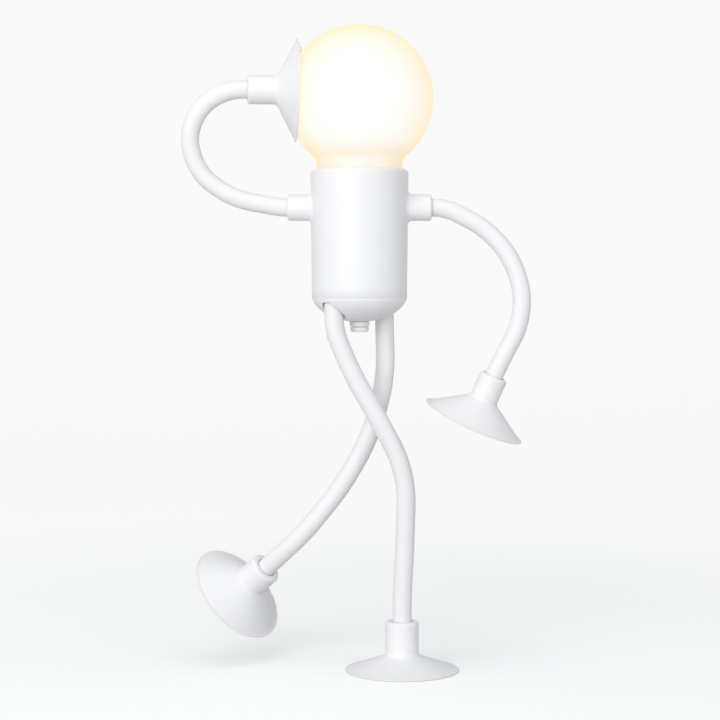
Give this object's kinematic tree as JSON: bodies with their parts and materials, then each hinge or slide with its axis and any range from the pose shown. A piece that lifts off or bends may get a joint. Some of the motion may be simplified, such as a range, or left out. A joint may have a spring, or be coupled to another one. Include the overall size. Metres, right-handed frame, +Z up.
{
  "type": "posable figure lamp",
  "caption": "Cordless figure lamp: opal globe head on a lantern body with bendable arms and legs that end in suction cups, standing on one leg",
  "frame": {"origin": "middle of the standing foot's rim, on the floor", "axes": "+Z up; -Y is the figure's front; +X is the viewer's right, the side of the lowered arm"},
  "size_m": [0.2226, 0.1032, 0.4119],
  "materials": {
    "shell_plastic": "satin",
    "button_plastic": "satin",
    "opal_plastic": "satin",
    "silicone": "matte",
    "core_steel": "satin",
    "holder_plastic": "matte",
    "gasket_rubber": "matte",
    "board": "satin",
    "led": "gloss",
    "heat_sink_aluminium": "satin",
    "screw_steel": "satin",
    "cell": "satin",
    "nickel": "satin",
    "black_plastic": "matte"
  },
  "bodies": {
    "torso": {"body_shell": "shell_plastic", "base_cap": "shell_plastic", "switch_bezel": "shell_plastic", "opal_globe": "opal_plastic", "globe_retainer": "holder_plastic", "battery_holder": "holder_plastic", "globe_gasket": "gasket_rubber", "led_board": "board", "control_board": "board", "led_chips": "led", "heat_sink": "heat_sink_aluminium", "module_screws": "screw_steel", "battery_cell": "cell", "battery_tabs": "nickel", "charging_port": "nickel", "board_chips": "black_plastic", "switch_body": "black_plastic", "shoulder_anchors": "core_steel", "hip_anchors": "core_steel"},
    "button": {"power_button": "button_plastic"},
    "raised_arm_1": {"raised_arm_core_1": "core_steel", "raised_arm_sleeve_1": "silicone"},
    "raised_arm_2": {"raised_arm_core_2": "core_steel", "raised_arm_sleeve_2": "silicone"},
    "raised_arm_3": {"raised_arm_core_3": "core_steel", "raised_arm_sleeve_3": "silicone", "raised_hand_cup": "silicone"},
    "lowered_arm_1": {"lowered_arm_core_1": "core_steel", "lowered_arm_sleeve_1": "silicone"},
    "lowered_arm_2": {"lowered_arm_core_2": "core_steel", "lowered_arm_sleeve_2": "silicone"},
    "lowered_arm_3": {"lowered_arm_core_3": "core_steel", "lowered_arm_sleeve_3": "silicone"},
    "lowered_arm_4": {"lowered_arm_core_4": "core_steel", "lowered_arm_sleeve_4": "silicone", "lowered_hand_cup": "silicone"},
    "standing_leg_1": {"standing_leg_core_1": "core_steel", "standing_leg_sleeve_1": "silicone"},
    "standing_leg_2": {"standing_leg_core_2": "core_steel", "standing_leg_sleeve_2": "silicone"},
    "standing_leg_3": {"standing_leg_core_3": "core_steel", "standing_leg_sleeve_3": "silicone"},
    "standing_leg_4": {"standing_leg_core_4": "core_steel", "standing_leg_sleeve_4": "silicone", "standing_foot_cup": "silicone"},
    "lifted_leg_1": {"lifted_leg_core_1": "core_steel", "lifted_leg_sleeve_1": "silicone"},
    "lifted_leg_2": {"lifted_leg_core_2": "core_steel", "lifted_leg_sleeve_2": "silicone"},
    "lifted_leg_3": {"lifted_leg_core_3": "core_steel", "lifted_leg_sleeve_3": "silicone"},
    "lifted_leg_4": {"lifted_leg_core_4": "core_steel", "lifted_leg_sleeve_4": "silicone", "lifted_foot_cup": "silicone"}
  },
  "joints": [
    {"name": "raised_arm_shoulder", "type": "hinge", "parent": "torso", "child": "raised_arm_1", "pos_m": [-0.08608, 0.01, 0.29743], "axis": [0, -1, 0], "range_deg": [0, 60], "deforming": ["raised_arm_sleeve_1"]},
    {"name": "raised_arm_upper", "type": "hinge", "parent": "raised_arm_1", "child": "raised_arm_2", "pos_m": [-0.10829, 0.00986, 0.30314], "axis": [0, -1, 0], "range_deg": [0, 50], "deforming": ["raised_arm_sleeve_2"]},
    {"name": "raised_arm_elbow", "type": "hinge", "parent": "raised_arm_2", "child": "raised_arm_3", "pos_m": [-0.12617, 0.009, 0.31565], "axis": [0, -1, 0], "range_deg": [0, 40], "deforming": ["raised_arm_sleeve_3"]},
    {"name": "lowered_arm_shoulder", "type": "hinge", "parent": "torso", "child": "lowered_arm_1", "pos_m": [0.03429, 0.00975, 0.2925], "axis": [0, -1, 0], "range_deg": [-5, 75], "deforming": ["lowered_arm_sleeve_1"]},
    {"name": "lowered_arm_upper", "type": "hinge", "parent": "lowered_arm_1", "child": "lowered_arm_2", "pos_m": [0.06183, 0.00797, 0.27314], "axis": [-0.7536, 0, -0.6574], "range_deg": [-30, 45], "deforming": ["lowered_arm_sleeve_2"]},
    {"name": "lowered_arm_elbow", "type": "hinge", "parent": "lowered_arm_2", "child": "lowered_arm_3", "pos_m": [0.07569, 0.00428, 0.24283], "axis": [0, -1, 0], "range_deg": [-8, 60], "deforming": ["lowered_arm_sleeve_3"]},
    {"name": "lowered_arm_wrist", "type": "hinge", "parent": "lowered_arm_3", "child": "lowered_arm_4", "pos_m": [0.06916, 0.00151, 0.21017], "axis": [-0.8746, 0, 0.4848], "range_deg": [-35, 35], "deforming": ["lowered_arm_sleeve_4"]},
    {"name": "standing_leg_hip", "type": "hinge", "parent": "torso", "child": "standing_leg_1", "pos_m": [-0.04093, -0.00507, 0.21248], "axis": [0, -1, 0], "range_deg": [-6, 20], "deforming": ["standing_leg_sleeve_1"]},
    {"name": "standing_leg_thigh", "type": "hinge", "parent": "standing_leg_1", "child": "standing_leg_2", "pos_m": [-0.0168, -0.00491, 0.16427], "axis": [-0.8739, 0, -0.486], "range_deg": [-12, 35], "deforming": ["standing_leg_sleeve_2"]},
    {"name": "standing_leg_knee", "type": "hinge", "parent": "standing_leg_2", "child": "standing_leg_3", "pos_m": [0.00225, -0.00287, 0.11434], "axis": [0, -1, 0], "range_deg": [-10, 40], "deforming": ["standing_leg_sleeve_3"]},
    {"name": "standing_leg_ankle", "type": "hinge", "parent": "standing_leg_3", "child": "standing_leg_4", "pos_m": [0.00089, -0.00056, 0.06243], "axis": [-0.9989, 0, 0.0474], "range_deg": [-30, 30], "deforming": ["standing_leg_sleeve_4"]},
    {"name": "lifted_leg_hip", "type": "hinge", "parent": "torso", "child": "lifted_leg_1", "pos_m": [-0.0108, 0.02474, 0.21221], "axis": [0, 1, 0], "range_deg": [-6, 40], "deforming": ["lifted_leg_sleeve_1"]},
    {"name": "lifted_leg_thigh", "type": "hinge", "parent": "lifted_leg_1", "child": "lifted_leg_2", "pos_m": [-0.01601, 0.02104, 0.16392], "axis": [0.9615, 0, -0.2749], "range_deg": [-10, 40], "deforming": ["lifted_leg_sleeve_2"]},
    {"name": "lifted_leg_knee", "type": "hinge", "parent": "lifted_leg_2", "child": "lifted_leg_3", "pos_m": [-0.03734, 0.01506, 0.11932], "axis": [0, 1, 0], "range_deg": [-8, 60], "deforming": ["lifted_leg_sleeve_3"]},
    {"name": "lifted_leg_ankle", "type": "hinge", "parent": "lifted_leg_3", "child": "lifted_leg_4", "pos_m": [-0.06898, 0.01431, 0.08087], "axis": [0.7053, 0, -0.7089], "range_deg": [-30, 30], "deforming": ["lifted_leg_sleeve_4"]},
    {"name": "power_button_press", "type": "slide", "parent": "torso", "child": "button", "axis": [0, 0, 1], "range_m": [0, 0.0003], "stiffness_N_per_m": 1000}
  ]
}
